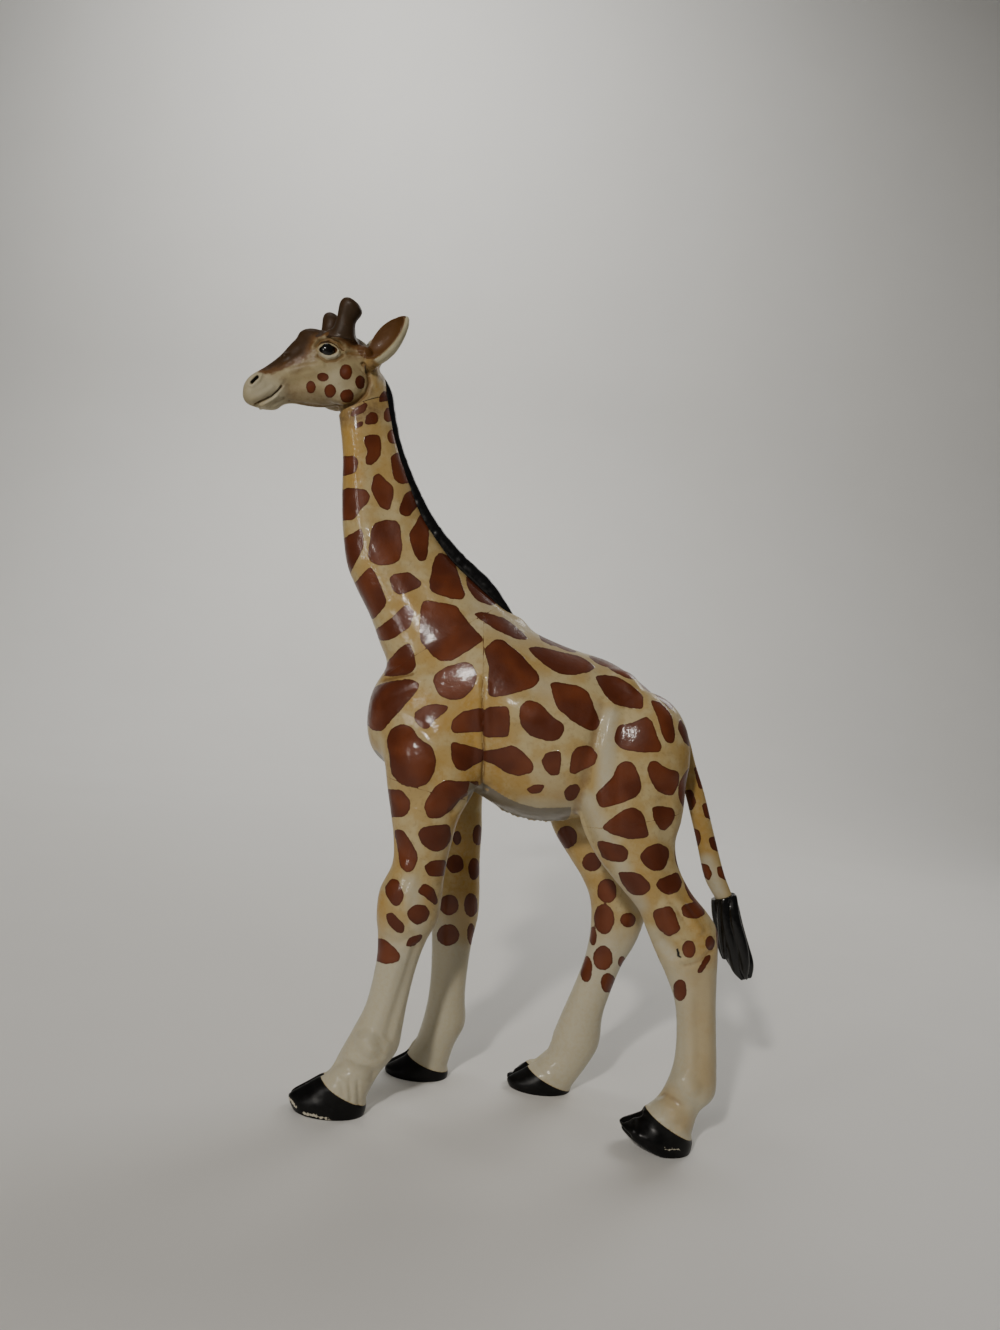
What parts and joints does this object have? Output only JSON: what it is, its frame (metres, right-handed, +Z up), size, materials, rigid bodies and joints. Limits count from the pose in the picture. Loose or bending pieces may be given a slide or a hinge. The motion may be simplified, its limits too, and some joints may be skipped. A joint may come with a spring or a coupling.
{
  "type": "toy giraffe figure",
  "caption": "Walking toy giraffe in painted vinyl, standing on its hooves, with head turned slightly to its left, mane strip, ears, horns and hanging tail.",
  "frame": {"origin": "on the surface that the figure stands on, under the middle of its bounding box", "axes": "+Z up along the height; the figure faces -X and its left side is towards -Y"},
  "size_m": [0.1212, 0.0355, 0.1666],
  "materials": {
    "painted_hide": "cream vinyl with reddish-brown net pattern, ochre airbrushing and a satin clear coat",
    "painted_legs": "off-white vinyl with brown patches on the upper half, satin clear coat",
    "painted_ears": "brown in the hollow, pale grey on the back, satin",
    "brown_horns": "dark brown paint, satin",
    "eye_gloss": "glossy black paint",
    "black_hair": "glossy black paint over sculpted strands",
    "black_hooves": "glossy black paint with small chips at the edges"
  },
  "bodies": {
    "root": {"head": "painted_hide", "neck": "painted_hide", "front_body": "painted_hide", "rear_body": "painted_hide", "tail": "painted_hide", "left_foreleg": "painted_legs", "right_foreleg": "painted_legs", "left_hindleg": "painted_legs", "right_hindleg": "painted_legs", "left_ear": "painted_ears", "right_ear": "painted_ears", "left_ossicone": "brown_horns", "right_ossicone": "brown_horns", "left_eye": "eye_gloss", "right_eye": "eye_gloss", "mane": "black_hair", "tail_tuft": "black_hair", "left_fore_hoof": "black_hooves", "right_fore_hoof": "black_hooves", "left_hind_hoof": "black_hooves", "right_hind_hoof": "black_hooves"}
  },
  "joints": []
}
